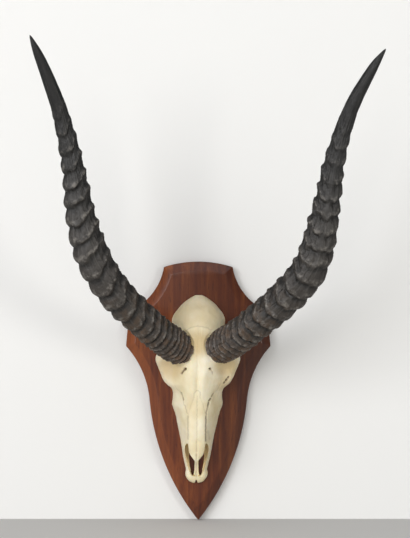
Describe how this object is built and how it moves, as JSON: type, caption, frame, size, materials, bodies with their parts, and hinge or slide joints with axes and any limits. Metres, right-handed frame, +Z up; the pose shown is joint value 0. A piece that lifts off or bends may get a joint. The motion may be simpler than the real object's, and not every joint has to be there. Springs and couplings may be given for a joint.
{
  "type": "kob skull mount",
  "caption": "Wall trophy: a bleached antelope skull with long ringed horns in a wide V, seated on a bevelled hardwood shield.",
  "frame": {"origin": "on the flat back face of the shield, on its centre line, halfway up its height", "axes": "+Y out of the shield's back face into the wall, +Z up towards the horn tips, +X to the viewer's right, and the viewer looks along +Y"},
  "size_m": [0.449, 0.2437, 0.6638],
  "materials": {
    "wood": "satin",
    "bone": "matte",
    "horn": "satin",
    "steel": "zinc plated"
  },
  "bodies": {
    "root": {"shield": "wood", "skull": "bone", "horn_left": "horn", "horn_right": "horn", "hanger_plate": "steel", "plate_screw_upper": "steel", "plate_screw_lower": "steel", "skull_screw_upper": "steel", "skull_screw_lower": "steel"}
  },
  "joints": []
}
